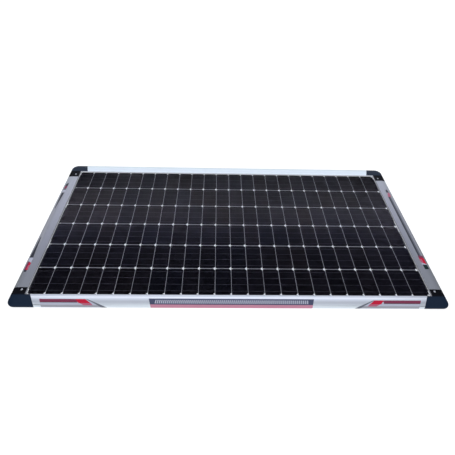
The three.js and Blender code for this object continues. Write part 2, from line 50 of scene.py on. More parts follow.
lip_x = -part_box("left_rail")[1].x / MM
lip_y = -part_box("front_rail")[1].y / MM
RAIL_W = 67.0
RAIL_TOP = 19.75
RAIL_FLAT = 4.0
NOSE_H = 12.0
FOOT_X = 59.0
SLOPE = ((RAIL_FLAT, RAIL_TOP), (30.0, 20.42), (RAIL_W, 20.42), (RAIL_W, NOSE_H))
CHANNEL_DEPTH = 8.0
CHANNEL_LOW = 11.875
CHANNEL_HIGH = 17.75
FLANGE_LOW = 9.875
INNER_WALL = 6.0
SKIN = 2.0
CHAMBER = (10.0, 42.0, 2.0, 12.0)
WEB_TOP = 14.0
CAP_SKIN = 3.0
CAP_RADIUS = 40.0
DECK_TOP = 18.25
DECK_STEP = 3.0
DECK_FROM = 8.5
FRONT_CAP = {"side": 40.0, "lip": 25.0, "foot": 63.0, "screw": 29.0}
REAR_CAP = {"side": 58.0, "lip": 44.0, "foot": 25.0, "screw": 30.0}
SCREW_OUT = 25.0
RECESS_R = 8.5
RECESS_FLOOR = 16.25
BOSS_R = 11.0
JOINT = 0.3
CELL_X, CELL_Y = 78.375, 156.75
COLUMN_GAP, ROW_GAP = 2.0, 3.5
CELL_CHAMFER = 8.5
COLUMNS, ROWS = 24, 6


def bezier(points, t):
    """The point at t on a cubic curve in the plane."""
    s = 1.0 - t
    weights = (s ** 3, 3 * s * s * t, 3 * s * t * t, t ** 3)
    return tuple(sum(w * p[i] for w, p in zip(weights, points)) for i in (0, 1))


def arc(cx, cy, radius, start, end, steps):
    """Points from start to end, in degrees, both included."""
    angles = [math.radians(start + (end - start) * i / steps) for i in range(steps + 1)]
    return [(cx + radius * math.cos(a), cy + radius * math.sin(a)) for a in angles]


def rectangle(a0, a1, b0, b1):
    """The corners of a rectangle that spans a0 to a1 one way and b0 to b1 the other."""
    return [(a0, b0), (a1, b0), (a1, b1), (a0, b1)]


# ---------------------------------------------------------------- meshes


def add_piece(name, bm, replaced, materials, smooth_angle=40.0):
    """A finished piece from a bmesh in millimetres."""
    mesh = bpy.data.meshes.new(name)
    bmesh.ops.scale(bm, vec=(MM, MM, MM), verts=bm.verts)
    bm.to_mesh(mesh)
    bm.free()
    for material in materials:
        mesh.materials.append(material)
    for polygon in mesh.polygons:
        polygon.use_smooth = True
    mesh.set_sharp_from_angle(angle=math.radians(smooth_angle))
    piece = bpy.data.objects.new(name, mesh)
    bpy.context.scene.collection.objects.link(piece)
    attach(piece, "root")
    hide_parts(replaced)
    return piece


def loft(bm, rings, holes=()):
    """Joins rings of points, each a closed section, and closes both ends. A hole is (first index,
    count) of a ring's points that bound a tunnel; the rest bound the outside."""
    verts = [[bm.verts.new(p) for p in ring] for ring in rings]
    count = len(rings[0])
    starts = [h[0] for h in holes]
    outer = (0, starts[0] if starts else count)
    loops = [outer, *holes]
    for first, size in loops:
        for a, b in zip(verts, verts[1:]):
            for i in range(size):
                j = first + (i + 1) % size
                i += first
                bm.faces.new((a[i], a[j], b[j], b[i]))
    for ring, points, back in ((verts[0], rings[0], False), (verts[-1], rings[-1], True)):
        flat = [[Vector(points[f + i]) for i in range(n)] for f, n in loops]
        order = [ring[f + i] for f, n in loops for i in range(n)]
        for triangle in tessellate_polygon(flat):
            corners = [order[i] for i in triangle]
            if len(set(corners)) == 3:
                bm.faces.new(corners[::-1] if back else corners)
    bmesh.ops.recalc_face_normals(bm, faces=bm.faces)


def boolean(bm, cutter, operation):
    """Returns bm joined with or cut by cutter; both bmeshes are used up."""
    objects = []
    for part in (bm, cutter):
        mesh = bpy.data.meshes.new("work")
        part.to_mesh(mesh)
        part.free()
        obj = bpy.data.objects.new("work", mesh)
        bpy.context.scene.collection.objects.link(obj)
        objects.append(obj)
    modifier = objects[0].modifiers.new("cut", "BOOLEAN")
    modifier.operation = operation
    modifier.solver = "EXACT"
    modifier.object = objects[1]
    graph = bpy.context.evaluated_depsgraph_get()
    result = bpy.data.meshes.new_from_object(objects[0].evaluated_get(graph))
    out = bmesh.new()
    out.from_mesh(result)
    for obj in objects:
        mesh = obj.data
        bpy.data.objects.remove(obj)
        bpy.data.meshes.remove(mesh)
    bpy.data.meshes.remove(result)
    return out


def lathe(points, sides, at=(0, 0)):
    """A body turned about a vertical axis; points are (radius, height) from bottom to top."""
    bm = bmesh.new()
    rings = []
    for radius, height in points:
        if radius < 1e-6:
            rings.append([bm.verts.new((at[0], at[1], height))])
            continue
        rings.append([
            bm.verts.new((at[0] + radius * math.cos(2 * math.pi * i / sides),
                          at[1] + radius * math.sin(2 * math.pi * i / sides), height))
            for i in range(sides)
        ])
    for low, high in zip(rings, rings[1:]):
        for i in range(sides):
            j = (i + 1) % sides
            if len(low) == 1:
                bm.faces.new((low[0], high[j], high[i]))
            elif len(high) == 1:
                bm.faces.new((low[i], low[j], high[0]))
            else:
                bm.faces.new((low[i], low[j], high[j], high[i]))
    if len(rings[0]) > 1:
        bm.faces.new(rings[0][::-1])
    if len(rings[-1]) > 1:
        bm.faces.new(rings[-1])
    bmesh.ops.recalc_face_normals(bm, faces=bm.faces)
    return bm


def prism(outline, low, high):
    """An outline in plan, anticlockwise, raised from low to high."""
    bm = bmesh.new()
    bottom = [bm.verts.new((x, y, low)) for x, y in outline]
    top = [bm.verts.new((x, y, high)) for x, y in outline]
    bm.faces.new(bottom[::-1])
    bm.faces.new(top)
    for i in range(len(outline)):
        j = (i + 1) % len(outline)
        bm.faces.new((bottom[i], bottom[j], top[j], top[i]))
    return bm


# ---------------------------------------------------------------- node helpers


class Nodes:
    """The node tree of a material or a world, with short calls to build it."""

    def __init__(self, owner, output_kind):
        owner.use_nodes = True
        self.owner = owner
        self.tree = owner.node_tree
        self.tree.nodes.clear()
        self.output = self.add(output_kind)

    def add(self, kind, inputs=None, **settings):
        node = self.tree.nodes.new(kind)
        for key, value in settings.items():
            setattr(node, key, value)
        for key, value in (inputs or {}).items():
            self.give(node.inputs[key], value)
        return node

    def give(self, socket, value):
        if isinstance(value, bpy.types.NodeSocket):
            self.tree.links.new(value, socket)
        else:
            socket.default_value = value

    def math(self, operation, a, b=0.0, c=0.0, clamp=False):
        node = self.add("ShaderNodeMath", {0: a, 1: b, 2: c}, operation=operation, use_clamp=clamp)
        return node.outputs[0]

    def range(self, value, low, high, out_low=0.0, out_high=1.0):
        node = self.add("ShaderNodeMapRange", {
            "Value": value, "From Min": low, "From Max": high,
            "To Min": out_low, "To Max": out_high,
        })
        return node.outputs[0]

    def around(self, noise, middle, spread):
        """A noise's usual range, brought to a middle value and a spread to each side."""
        return self.range(noise, 0.3, 0.7, middle - spread, middle + spread)

    def axes(self, vector):
        """The X, Y and Z of a vector, by name."""
        return self.add("ShaderNodeSeparateXYZ", {0: vector}).outputs

    def place(self, scale=(1, 1, 1)):
        """Object coordinates, stretched; the object sits at the row frame's origin."""
        coords = self.add("ShaderNodeTexCoord").outputs["Object"]
        return self.add("ShaderNodeMapping", {"Vector": coords, "Scale": scale}).outputs[0]

    def noise(self, vector, scale, detail=3.0, roughness=0.5):
        node = self.add("ShaderNodeTexNoise", {
            "Vector": vector, "Scale": scale, "Detail": detail, "Roughness": roughness,
        })
        return node.outputs["Fac"]

    def mix(self, factor, a, b, blend="MIX"):
        node = self.add("ShaderNodeMix", data_type="RGBA", blend_type=blend)
        self.give(node.inputs["Factor"], factor)
        self.give(node.inputs["A"], a)
        self.give(node.inputs["B"], b)
        return node.outputs["Result"]

    def ramp(self, value, stops):
        """Colours between stops, each (place, colour)."""
        node = self.add("ShaderNodeValToRGB", {0: value})
        elements = node.color_ramp.elements
        while len(elements) < len(stops):
            elements.new(0.5)
        for element, (place, colour) in zip(elements, stops):
            element.position = place
            element.color = (*colour, 1)
        return node.outputs[0]

    def bump(self, height, strength, distance):
        node = self.add("ShaderNodeBump", {
            "Height": height, "Strength": strength, "Distance": distance,
        })
        return node.outputs[0]

    def surface(self, shader):
        self.tree.links.new(shader, self.output.inputs["Surface"])
        return self.owner

    def principled(self, **inputs):
        names = {key.replace("_", " "): value for key, value in inputs.items()}
        node = self.add("ShaderNodeBsdfPrincipled", names)
        return self.surface(node.outputs[0])


def material_nodes(name):
    return Nodes(bpy.data.materials.new(name), "ShaderNodeOutputMaterial")


def shade(colour, factor):
    return tuple(min(1.0, c * factor) for c in colour[:3]) + (1.0,)


# Noise scales, in waves to the metre or so.
DRIFT = 9.0
PATCHES = 30.0
GRAIN = 900.0
DRAWN_LINES = 420.0


def moulded(name, colour, roughness, grain=0.25, variation=0.25):
    """Moulded plastic or rubber: fine grain, slow tone drift, patchy gloss."""
    n = material_nodes(name)
    where = n.place()
    drift = n.noise(where, DRIFT)
    tone = n.mix(drift, shade(colour, 1 - variation), shade(colour, 1 + variation))
    return n.principled(
        Base_Color=tone, Roughness=n.around(n.noise(where, PATCHES, 4.0), roughness, 0.06),
        Normal=n.bump(n.noise(where, GRAIN, 2.0), grain, 0.00008),
    )


def brushed(name, colour, roughness, stretch, tones, anisotropic=0.7):
    """Anodised aluminium drawn to shape: its lines spread the gloss across the rail. The tones are
    (share of the way across, factor): painted highlight and shade across the section, by how light
    falls."""
    n = material_nodes(name)
    lines = n.noise(n.place(stretch), DRAWN_LINES, 2.0, 0.6)
    width = n.axes(n.add("ShaderNodeUVMap", uv_map="across").outputs[0])["X"]
    share = n.math("DIVIDE", width, (RAIL_W + RAIL_TOP - NOSE_H) * MM)
    # Painted light and shade: the tones lighten and darken the colour across the section in place of
    # the shading of its curved faces.
    painted_shade_ramp = n.ramp(share, [(place, [c * factor for c in colour]) for place, factor in tones])
    cloud = n.mix(n.noise(n.place(), 5.0, 4.0), (0.96, 0.96, 0.96, 1), (1.0, 1.0, 1.0, 1))
    across = n.add("ShaderNodeTangent", direction_type="UV_MAP", uv_map="across").outputs[0]
    return n.principled(
        Base_Color=n.mix(1.0, painted_shade_ramp, cloud, "MULTIPLY"), Metallic=1.0,
        Roughness=n.around(lines, roughness, 0.03), Anisotropic=anisotropic, Tangent=across,
        Normal=n.bump(lines, 0.10, 0.00003),
    )


def metal(name, colour, roughness, stretch=(1, 1, 1), grain=0.15):
    """Metal with drawn lines along the axis whose stretch is smallest."""
    n = material_nodes(name)
    lines = n.noise(n.place(stretch), DRAWN_LINES, 2.0, 0.6)
    tone = n.mix(n.noise(n.place(), 6.0, 4.0), shade(colour, 0.94), shade(colour, 1.06))
    return n.principled(
        Base_Color=tone, Metallic=1.0, Roughness=n.around(lines, roughness, 0.05),
        Normal=n.bump(lines, grain, 0.00004),
    )


def printed(name, colour):
    """Printed film: an even ink with a faint screen and a soft gloss."""
    n = material_nodes(name)
    where = n.place()
    screen = n.noise(where, 1400.0, 1.0)
    drift = n.noise(where, 14.0)
    tone = n.mix(n.math("MULTIPLY_ADD", screen, 0.35, n.math("MULTIPLY", drift, 0.65)),
                 shade(colour, 0.92), shade(colour, 1.08))
    return n.principled(
        Base_Color=tone, Roughness=0.35, Specular_IOR_Level=0.2,
        Normal=n.bump(n.noise(where, 260.0, 2.0), 0.08, 0.00005),
    )


def cap_material():
    """Black glass-filled plastic, with a painted dark blue reflection of the sky on the legs along the
    front and rear.
    """
    n = material_nodes("cap_plastic")
    where = n.place()
    drift = n.noise(where, DRIFT)
    past_lip = n.math("SUBTRACT", n.math("ABSOLUTE", n.axes(where)["Y"]), lip_y * MM)
    slope = n.range(past_lip, -DECK_STEP * MM, 6 * MM)
    black = n.mix(drift, (0.0042, 0.0045, 0.0062, 1), (0.0060, 0.0064, 0.0085, 1))
    # Painted reflection: dark blue on the sloping legs along the front and rear, in place of the
    # bluish light they reflect.
    painted_sky_reflection = n.mix(drift, (0.0086, 0.0190, 0.0390, 1), (0.0116, 0.0242, 0.0470, 1))
    return n.principled(
        Base_Color=n.mix(slope, black, painted_sky_reflection),
        Roughness=n.around(n.noise(where, PATCHES, 4.0), 0.35, 0.05),
        Specular_IOR_Level=n.range(slope, 0.0, 1.0, 0.035, 0.09),
        Normal=n.bump(n.noise(where, GRAIN, 2.0), 0.2, 0.00006),
    )


# ---------------------------------------------------------------- materials

ALONG_X = (0.004, 1.0, 1.0)
ALONG_Y = (1.0, 0.004, 1.0)
# Tones across each rail's section, as (share of the way across, factor): painted highlight and shade.
FRONT_PAINTED_SHADE = ((0.0, 0.84), (0.07, 0.78), (0.107, 0.76), (0.15, 1.02), (0.19, 1.12), (0.265, 0.93),
               (0.345, 0.81), (0.425, 0.70), (0.505, 0.62), (0.585, 0.63), (0.67, 0.70),
               (0.77, 0.80), (0.88, 0.87), (1.0, 0.92))
REAR_PAINTED_SHADE = ((0.0, 1.16), (0.08, 1.14), (0.20, 1.0), (0.60, 0.98), (0.75, 0.88), (1.0, 0.84))
SIDE_PAINTED_SHADE = ((0.0, 0.60), (0.40, 0.63), (0.70, 0.58), (1.0, 0.54))
# Each rail has its own copy of one anodised aluminium: bluish white at the front, pale grey at the
# rear and darker grey on the sides. These are painted light and shade by how light falls on each side
# of the frame.
silver_front = brushed("aluminium_front_painted_light", (0.91, 0.965, 1.00), 0.36, ALONG_X, FRONT_PAINTED_SHADE)
silver_rear = brushed("aluminium_rear_painted_light", (0.80, 0.886, 0.88), 0.36, ALONG_X, REAR_PAINTED_SHADE)
silver_side = brushed("aluminium_side_painted_shade", (0.80, 0.84, 0.85), 0.46, ALONG_Y, SIDE_PAINTED_SHADE, 0.85)
cap_black = cap_material()
# Two copies of one rubber, pale for the rear gasket and grey for the front and side gaskets: painted
# light and shade by how light falls on each side.
gasket_painted_light = moulded("gasket_rubber", (0.80, 0.82, 0.87), 0.6, 0.3, 0.05)
gasket_painted_shade = moulded("side_gasket_rubber", (0.30, 0.30, 0.32), 0.6, 0.3, 0.05)
box_black = moulded("junction_box_plastic", (0.013, 0.013, 0.014), 0.5)
seal_grey = moulded("seal_rubber", (0.05, 0.05, 0.052), 0.7, 0.4)
key_metal = metal("cast_key", (0.50, 0.51, 0.53), 0.5, grain=0.5)
brass = metal("terminal_brass", (0.72, 0.52, 0.24), 0.34)
screw_steel = metal("screw_steel", (0.62, 0.63, 0.65), 0.34)
ribbon_tin = metal("blackened_ribbon", (0.05, 0.05, 0.058), 0.42, ALONG_Y)
tab_tin = metal("tinned_tab", (0.10, 0.10, 0.115), 0.42, ALONG_X)
diode_black = moulded("diode_body", (0.012, 0.012, 0.013), 0.4)

FINGER_PITCH = 1.6
GLASS_IOR = 1.2
# Strength of the white sheet's painted light, and width of its painted shadow line round the cell
# field.
WHITE_PAINTED_GLOW = 0.22
EDGE_SHADOW_LINE = 3.5


def cell_material():
    """Black coated silicon: each cell has its own tint and gloss, with printed fingers."""
    n = material_nodes("cell_silicon")
    where = n.axes(n.place())
    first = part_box("cell_string_6")[0]

    def count(axis, start, pitch):
        return n.math("FLOOR", n.math("DIVIDE", n.math("SUBTRACT", where[axis], start), pitch * MM))

    column = count("X", first.x, CELL_X + COLUMN_GAP)
    row = count("Y", first.y, CELL_Y + ROW_GAP)
    square = n.add("ShaderNodeCombineXYZ", {"X": column, "Y": row, "Z": 3.7}).outputs[0]
    chance = n.add("ShaderNodeTexWhiteNoise", {"Vector": square}, noise_dimensions="3D")
    split = n.add("ShaderNodeSeparateColor", {0: chance.outputs["Color"]})
    # Cell to cell the coating drifts between blue-black, brown-black and violet-black.
    warm = n.mix(split.outputs["Red"], (0.0022, 0.0026, 0.0048, 1), (0.0044, 0.0032, 0.0034, 1))
    tone = n.mix(n.math("MULTIPLY", split.outputs["Green"], 0.6), warm, (0.0038, 0.0028, 0.0056, 1))
    # Printed fingers, square to the tabs.
    along = n.math("FRACT", n.math("DIVIDE", where["X"], FINGER_PITCH * MM))
    finger = n.math("LESS_THAN", n.math("ABSOLUTE", n.math("SUBTRACT", along, 0.5)), 0.03)
    inked = n.mix(n.math("MULTIPLY", finger, 0.5), tone, (0.02, 0.02, 0.024, 1))
    cloud = n.noise(n.place(), 60.0, 3.0)
    body = n.mix(n.math("MULTIPLY", cloud, 0.25), inked, (0.001, 0.001, 0.002, 1))
    tint = n.mix(split.outputs["Blue"], (1.05, 0.97, 0.93, 1), (0.88, 0.97, 1.12, 1))
    return n.principled(
        Base_Color=body, Roughness=n.around(cloud, 0.125, 0.015), Specular_Tint=tint,
        Specular_IOR_Level=n.range(split.outputs["Green"], 0.0, 1.0, 0.10, 0.14),
    )


def glass_material():
    """The pane's coated top: clear, with a weak gloss that grows toward grazing views."""
    n = material_nodes("coated_glass")
    clear = n.add("ShaderNodeBsdfTransparent", {"Color": (0.985, 0.99, 0.988, 1)})
    film = n.noise(n.place(), 3.0, 4.0)
    gloss = n.add("ShaderNodeBsdfGlossy", {
        "Color": (0.97, 0.98, 1.0, 1), "Roughness": n.around(film, 0.045, 0.015),
    })
    facing = n.add("ShaderNodeFresnel", {"IOR": GLASS_IOR})
    mixed = n.add("ShaderNodeMixShader", {
        0: n.range(facing.outputs[0], 0.05, 1.0), 1: clear.outputs[0], 2: gloss.outputs[0],
    })
    return n.surface(mixed.outputs[0])


def clear_material():
    """A clear sheet with a trace of haze."""
    n = material_nodes("clear_encapsulant")
    haze = n.noise(n.place(), 40.0, 2.0)
    tint = n.mix(haze, (0.995, 0.997, 1.0, 1), (0.99, 0.992, 0.995, 1))
    return n.surface(n.add("ShaderNodeBsdfTransparent", {"Color": tint}).outputs[0])


def white_material():
    """The white sheet behind the cells: bright in the margins and where cut corners meet, grey in the
    narrow gaps as painted shade of the cells' edges, with a painted shadow line round the cell field;
    its bright parts give off light as painted light."""
    n = material_nodes("white_encapsulant")
    where = n.axes(n.place())
    half_x = (COLUMNS * (CELL_X + COLUMN_GAP) - COLUMN_GAP) / 2 * MM
    half_y = (ROWS * (CELL_Y + ROW_GAP) - ROW_GAP) / 2 * MM
    near_gap, at_gap, past, edge = {}, {}, {}, {}
    for axis, half, pitch, gap in (("X", half_x, CELL_X + COLUMN_GAP, COLUMN_GAP),
                                   ("Y", half_y, CELL_Y + ROW_GAP, ROW_GAP)):
        along = n.math("ADD", where[axis], half + (gap / 2 + pitch / 2) * MM)
        turn = n.math("FRACT", n.math("DIVIDE", along, pitch * MM))
        off = n.math("MULTIPLY", n.math("ABSOLUTE", n.math("SUBTRACT", turn, 0.5)), pitch * MM)
        near_gap[axis] = n.math("LESS_THAN", off, (CELL_CHAMFER + gap / 2) * MM)
        at_gap[axis] = n.math("LESS_THAN", off, EDGE_SHADOW_LINE * MM)
        reach = n.math("ABSOLUTE", where[axis])
        past[axis] = n.math("GREATER_THAN", reach, half)
        edge[axis] = n.math("MULTIPLY", past[axis], n.math("LESS_THAN", reach, half + EDGE_SHADOW_LINE * MM))
    bright = n.math("MAXIMUM", n.math("MULTIPLY", near_gap["X"], near_gap["Y"]),
                    n.math("MAXIMUM", past["X"], past["Y"]))
    # Painted shadow: a thin dark line round the cell field, in place of the shade of the cells' edges.
    line = n.math("MAXIMUM",
                  n.math("MULTIPLY", edge["X"], n.math("SUBTRACT", 1.0, at_gap["Y"])),
                  n.math("MULTIPLY", edge["Y"], n.math("SUBTRACT", 1.0, at_gap["X"])))
    # Painted light: the bright parts of the sheet give off light, though they are no lamp.
    painted_glow = n.math("MULTIPLY", n.math("SUBTRACT", bright, line, clamp=True), WHITE_PAINTED_GLOW)
    drift = n.noise(n.place(), 12.0, 4.0)
    # Painted shade: grey for the narrow gaps, white for the margins and where cut corners meet.
    grey = n.mix(drift, (0.46, 0.46, 0.50, 1), (0.52, 0.52, 0.56, 1))
    white = n.mix(drift, (0.90, 0.91, 0.94, 1), (0.95, 0.96, 0.98, 1))
    return n.principled(
        Base_Color=n.mix(line, n.mix(bright, grey, white), (0.012, 0.012, 0.016, 1)), Roughness=0.5,
        Emission_Color=(1, 1, 1, 1), Emission_Strength=painted_glow,
        Normal=n.bump(n.noise(n.place(), 500.0, 2.0), 0.15, 0.00005),
    )


def sheet_material(name, colour, roughness):
    """A plastic film with a slow tone drift."""
    n = material_nodes(name)
    where = n.place()
    drift = n.noise(where, 12.0, 4.0)
    tone = n.mix(drift, shade(colour, 0.95), shade(colour, 1.04))
    return n.principled(
        Base_Color=tone, Roughness=roughness, Normal=n.bump(n.noise(where, 500.0, 2.0), 0.15, 0.00005),
    )


cell_black = cell_material()
glass = glass_material()
clear = clear_material()
white_eva = white_material()
backsheet = sheet_material("backsheet", (0.80, 0.80, 0.80), 0.55)
label_film = sheet_material("label_film", (0.62, 0.63, 0.64), 0.4)

# ---------------------------------------------------------------- frame sections

SLOPE_STEPS = 32
RAIL_LIP_R = 1.25
RAIL_EDGE = 0.35


def slope_points(first, last, steps, points=SLOPE):
    """Points on the slope's curve, or on another, from one share of it to another."""
    return [bezier(points, first + (last - first) * i / steps) for i in range(steps + 1)]


def slope_height(out):
    """The slope's height at a distance out from the lip."""
    low, high = 0.0, 1.0
    for _ in range(30):
        middle = (low + high) / 2
        if bezier(SLOPE, middle)[0] < out:
            low = middle
        else:
            high = middle
    return bezier(SLOPE, low)[1]


def channel_points():
    """From the inner wall's foot up past the flange and round the laminate's channel."""
    return [(INNER_WALL, 0.0), (INNER_WALL, FLANGE_LOW), (0.0, FLANGE_LOW), (0.0, CHANNEL_LOW),
            (CHANNEL_DEPTH, CHANNEL_LOW), (CHANNEL_DEPTH, CHANNEL_HIGH)]


def wall_points():
    """From just under the nose down the leaning wall and round the foot."""
    return [(RAIL_W - 0.1, NOSE_H - 0.4), (RAIL_W - 0.45, NOSE_H - 0.9), (FOOT_X + 1.5, 2.25),
            (FOOT_X + 0.3, 0.75), (FOOT_X - 0.5, 0.15), (FOOT_X - 1.5, 0.0)]


def rail_section():
    """The rail's section as (outward from the lip, height): the skin that shows, the channel's
    side, and then its two tunnels."""
    skin = [(0.0, CHANNEL_HIGH)]
    skin += arc(RAIL_LIP_R, RAIL_TOP - RAIL_LIP_R, RAIL_LIP_R, 180, 90, 6)
    skin += slope_points(0.0, 1.0, SLOPE_STEPS)
    skin += wall_points()
    x0, x1, z0, z1 = CHAMBER
    wall = RAIL_W - SKIN
    shell = [(x0, WEB_TOP), (x1 + SKIN, WEB_TOP), (x1 + SKIN, SKIN), (FOOT_X - SKIN, SKIN)]
    under = ((wall, NOSE_H + 0.5), (wall, 18.0), (30.0, 18.25), (x0, RAIL_TOP - SKIN))
    shell += slope_points(0.0, 1.0, 16, under)
    return skin, channel_points(), rectangle(x0, x1, z0, z1), shell


def cap_end(cap, out):
    """How far a cap's long leg reaches at a distance out from the lip: its end is slanted."""
    return cap["lip"] + (cap["foot"] - cap["lip"]) * out / RAIL_W


def rail(name, outward, ends, replaced, material):
    """A rail along one side; ends gives where it stops, at a distance out from the lip. Its sawn
    ends are eased along the outside."""
    skin, channel, square, shell = rail_section()
    points = skin + channel + square + shell
    first = len(skin) + len(channel)
    holes = ((first, len(square)), (first + len(square), len(shell)))

    def place(u, h, along):
        if outward[0] == 0:
            return (along, outward[1] * (lip_y + u), h)
        return (outward[0] * (lip_x + u), along, h)

    def ring(end, shift, inset):
        spots = []
        for i, (u, h) in enumerate(points):
            along = end(u) + shift
            if i < len(skin) and h > CHANNEL_HIGH:
                h -= inset
            elif i < len(skin) and u > FOOT_X - 1:
                u -= inset
            spots.append(place(u, h, along))
        return spots

    start, stop = ends
    bm = bmesh.new()
    loft(bm, [ring(start, 0.0, RAIL_EDGE), ring(start, RAIL_EDGE, 0.0),
              ring(stop, -RAIL_EDGE, 0.0), ring(stop, 0.0, RAIL_EDGE)], holes)
    # The map's first axis runs across the rail and its second along it.
    layer = bm.loops.layers.uv.new("across")
    for face in bm.faces:
        for loop in face.loops:
            x, y, z = loop.vert.co
            along, out = (x, abs(y) - lip_y) if outward[0] == 0 else (y, abs(x) - lip_x)
            loop[layer].uv = ((out + RAIL_TOP - z) * MM, along * MM)
    return add_piece(name, bm, replaced, [material], 30.0)


def slanted_cut(cap, side):
    """Where a front or rear rail stops against a cap, on the left (-1) or the right (1)."""
    return lambda u: side * (lip_x - cap_end(cap, u) - JOINT)


def square_cut(cap, side):
    """Where a side rail stops against a cap, at the front (-1) or the rear (1)."""
    return lambda u: side * (lip_y - cap["side"] - JOINT)


front_cuts = (slanted_cut(FRONT_CAP, -1), slanted_cut(FRONT_CAP, 1))
rear_cuts = (slanted_cut(REAR_CAP, -1), slanted_cut(REAR_CAP, 1))
side_cuts = (square_cut(FRONT_CAP, -1), square_cut(REAR_CAP, 1))
rail("front_rail_extrusion", (0, -1), front_cuts, "front_rail", silver_front)
rail("rear_rail_extrusion", (0, 1), rear_cuts, "rear_rail", silver_rear)
rail("left_rail_extrusion", (-1, 0), side_cuts, "left_rail", silver_side)
rail("right_rail_extrusion", (1, 0), side_cuts, "right_rail", silver_side)

# ---------------------------------------------------------------- corner caps

CAP_LIP_R = 1.0
CAP_EDGE = 0.5
BEND_STEPS = 14
BOSS_LOW = 11.8
BORE_R = 2.25
BORE_LOW = 5.0
RECESS_EASE = 0.6
ROUND_SIDES = 48


def cap_section():
    """The cap's section: the outer skin from the lip to the foot, then the hollow's side back."""
    outer = [(0.0, CHANNEL_HIGH)]
    outer += arc(CAP_LIP_R, RAIL_TOP - CAP_LIP_R, CAP_LIP_R, 180, 90, 4)
    slope = slope_points(0.0, 1.0, SLOPE_STEPS)
    outer += [p for p in slope if p[0] < DECK_FROM - 1.0]
    outer += [(out, slope_height(out)) for out in (DECK_FROM - 0.4, DECK_FROM)]
    outer += [p for p in slope if p[0] > DECK_FROM + 0.5]
    outer += wall_points()
    wall = RAIL_W - CAP_SKIN
    under = RAIL_TOP - CAP_SKIN
    inner = [(FOOT_X - CAP_SKIN + 0.6, 0.0)]
    low = slope_points(0.0, 1.0, 12, ((wall, NOSE_H), (wall, 17.0), (28.0, 17.0), (RAIL_FLAT, under)))
    inner += [p for p in low if p[0] > CHAMBER[0] + 0.5]
    inner += [(CHAMBER[0], under), (CHAMBER[0], 0.0)]
    return outer, inner + channel_points()


def corner_cap(name, cap, sx, sy, replaced):
    """A cap, lofted from its slanted end, round the corner and down its side leg, and mirrored
    into its corner. The side leg's deck is sunk, and takes the screw's recess."""
    outer, inner = cap_section()
    section = outer + inner
    centre = RAIL_W - CAP_RADIUS

    def ring(place, sunk=False, inset=0.0):
        points = []
        for i, (u, h) in enumerate(section):
            x, y = place(u)
            if sunk and i < len(outer) and u >= DECK_FROM:
                h = min(h, DECK_TOP)
            if i < len(outer) and h > CHANNEL_HIGH:
                h -= inset
            elif i < len(outer) and u > FOOT_X - 1:
                shrink = (RAIL_W - inset) / RAIL_W
                x, y = (x * shrink, y) if abs(x - u) < 1e-6 else (x, y * shrink)
            points.append((x, y, h))
        return points

    def bend(angle):
        def place(u):
            if u <= centre:
                return (u, u)
            r = u - centre
            return (centre + r * math.cos(angle), centre + r * math.sin(angle))
        return place

    def side(y):
        return lambda u: (u, y)

    rings = [
        ring(lambda u: (-cap_end(cap, u), u), inset=CAP_EDGE),
        ring(lambda u: (-cap_end(cap, u) + CAP_EDGE, u)),
    ]
    for i in range(BEND_STEPS + 1):
        rings.append(ring(bend(math.radians(90 - 90 * i / BEND_STEPS))))
    rings += [
        ring(side(-DECK_STEP + 0.4)),
        ring(side(-DECK_STEP), sunk=True),
        ring(side(-cap["side"] + CAP_EDGE), sunk=True),
        ring(side(-cap["side"]), sunk=True, inset=CAP_EDGE),
    ]
    bm = bmesh.new()
    loft(bm, rings)
    bmesh.ops.remove_doubles(bm, verts=bm.verts, dist=1e-4)
    bmesh.ops.dissolve_degenerate(bm, dist=1e-5, edges=bm.edges)
    bmesh.ops.recalc_face_normals(bm, faces=bm.faces)

    at = (SCREW_OUT, -cap["screw"])
    boss = lathe([(BOSS_R, BOSS_LOW), (BOSS_R, RECESS_FLOOR + 1)], ROUND_SIDES, at)
    bm = boolean(bm, boss, "UNION")
    bore = [(BORE_R, BORE_LOW), (BORE_R, RECESS_FLOOR), (RECESS_R - 0.5, RECESS_FLOOR),
            (RECESS_R, RECESS_FLOOR + 0.5), (RECESS_R, DECK_TOP - RECESS_EASE)]
    rim = arc(0, DECK_TOP - RECESS_EASE, RECESS_EASE, 0, 90, 4)[1:]
    bore += [(RECESS_R + RECESS_EASE - r, z) for r, z in rim]
    bore += [(RECESS_R + RECESS_EASE, DECK_TOP + 3)]
    bm = boolean(bm, lathe(bore, ROUND_SIDES, at), "DIFFERENCE")
    mirror = Matrix.Diagonal((sx, sy, 1, 1)) @ Matrix.Translation((lip_x, lip_y, 0))
    bmesh.ops.transform(bm, matrix=mirror, verts=bm.verts)
    if sx * sy < 0:
        bmesh.ops.reverse_faces(bm, faces=bm.faces)
    return add_piece(name, bm, replaced, [cap_black], 32.0)


SHANK_R = 2.0
HEAD_R = 5.5
HEAD_RIM = 0.9
HEAD_CROWN = 1.85
SLOT_HALF = (3.1, 0.55)
SLOT_LOW = 1.2
SLOT_TURN = 25


